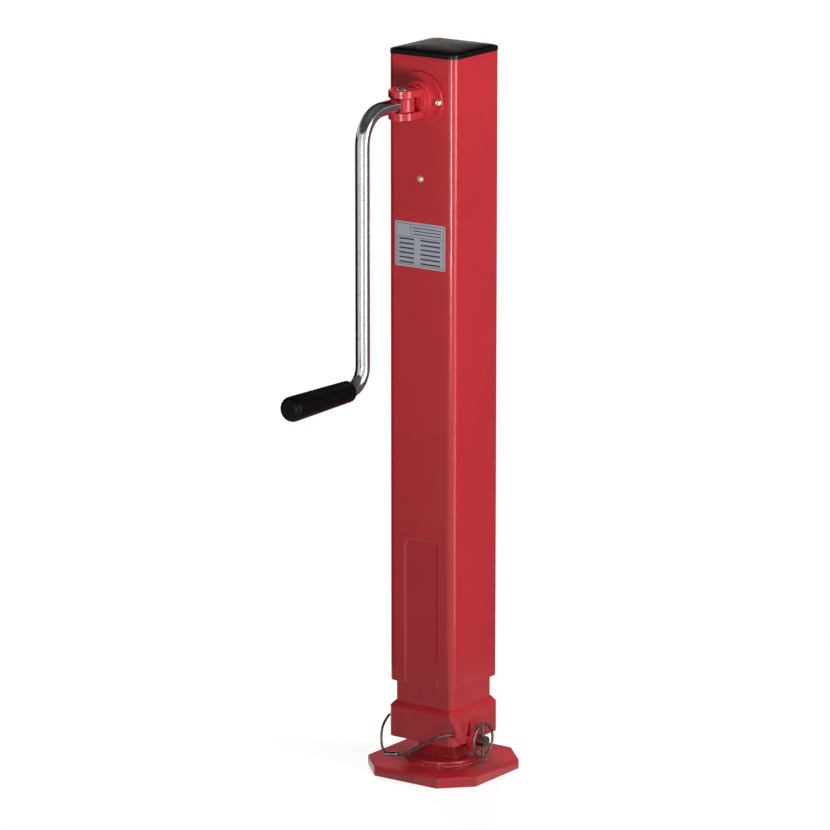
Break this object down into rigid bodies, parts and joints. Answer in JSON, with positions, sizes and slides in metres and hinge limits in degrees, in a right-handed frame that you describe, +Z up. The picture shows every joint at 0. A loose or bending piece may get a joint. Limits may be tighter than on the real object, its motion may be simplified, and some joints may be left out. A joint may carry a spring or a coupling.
{
  "type": "screw jack",
  "caption": "Square-tube screw jack with a side crank: a folding crank turns a bevel-geared spindle that slides an inner leg with a tilting foot plate.",
  "frame": {"origin": "centre of the foot plate's underside, on the tube's axis, leg fully in", "axes": "+Z up the tube; -Y out of the face that carries the crank; +X to the right of that face as seen facing the crank"},
  "size_m": [0.15, 0.368, 0.835],
  "materials": {
    "red_enamel": "glossy sprayed enamel",
    "black_cap_plastic": "moulded, satin",
    "black_grip_plastic": "moulded, smooth",
    "zinc_plated_steel": "bright zinc plate",
    "dark_steel": "oiled bare steel",
    "machined_steel": "turned, greased",
    "bronze": "turned",
    "glide_plastic": "moulded"
  },
  "bodies": {
    "housing": {"outer_tube": "red_enamel", "top_cap": "black_cap_plastic", "lower_guides": "glide_plastic", "shaft_flange": "red_enamel", "shaft_bush": "bronze", "rear_bush": "bronze", "flange_screws": "zinc_plated_steel", "bearing_plate": "machined_steel", "grease_nipple": "zinc_plated_steel", "thrust_upper_washer": "machined_steel"},
    "drive": {"drive_shaft": "red_enamel", "fold_pin": "zinc_plated_steel", "bevel_pinion": "machined_steel", "pinion_pin": "machined_steel"},
    "crank": {"crank_rod": "zinc_plated_steel", "crank_knuckle": "red_enamel"},
    "handle": {"grip": "black_grip_plastic"},
    "screw": {"spindle": "machined_steel", "stop_ring": "machined_steel", "stop_pin": "machined_steel", "gear_ring": "machined_steel", "spacer_sleeve": "machined_steel", "thrust_lower_washer": "machined_steel", "ball_cage": "machined_steel", "bevel_gear": "machined_steel", "gear_pin": "machined_steel"},
    "leg": {"inner_tube": "red_enamel", "spindle_nut": "bronze", "nut_pins": "machined_steel", "glide_strips": "glide_plastic", "foot_collar": "red_enamel", "foot_pin": "dark_steel", "pin_spacers": "dark_steel", "linch_pin": "zinc_plated_steel", "wire_keeper": "red_enamel", "retaining_wire": "dark_steel"},
    "foot": {"foot_plate": "red_enamel", "foot_disc": "red_enamel", "foot_tongue": "red_enamel"}
  },
  "joints": [
    {"name": "crank_turn", "type": "hinge", "parent": "housing", "child": "drive", "pos_m": [0, 0, 0.779], "axis": [0, 1, 0], "range_deg": [0, 36000]},
    {"name": "spindle_turn", "type": "hinge", "parent": "housing", "child": "screw", "pos_m": [0, 0, 0.779], "axis": [0, 0, 1], "range_deg": [-24000, 0]},
    {"name": "leg_extend", "type": "slide", "parent": "housing", "child": "leg", "axis": [0, 0, -1], "range_m": [0, 0.4]},
    {"name": "crank_fold", "type": "hinge", "parent": "drive", "child": "crank", "pos_m": [0, -0.08, 0.779], "axis": [0, 0, 1], "range_deg": [-90, 90]},
    {"name": "grip_spin", "type": "hinge", "parent": "crank", "child": "handle", "pos_m": [0, -0.2375, 0.475], "axis": [0, 1, 0], "continuous": true},
    {"name": "foot_tilt", "type": "hinge", "parent": "leg", "child": "foot", "pos_m": [0, 0, 0.04], "axis": [1, 0, 0], "range_deg": [-8, 8]}
  ],
  "couplings": [
    {"joint": "spindle_turn", "follows": "crank_turn", "ratio": -0.66667},
    {"joint": "leg_extend", "follows": "crank_turn", "m_per_rad": 0.00063662}
  ]
}
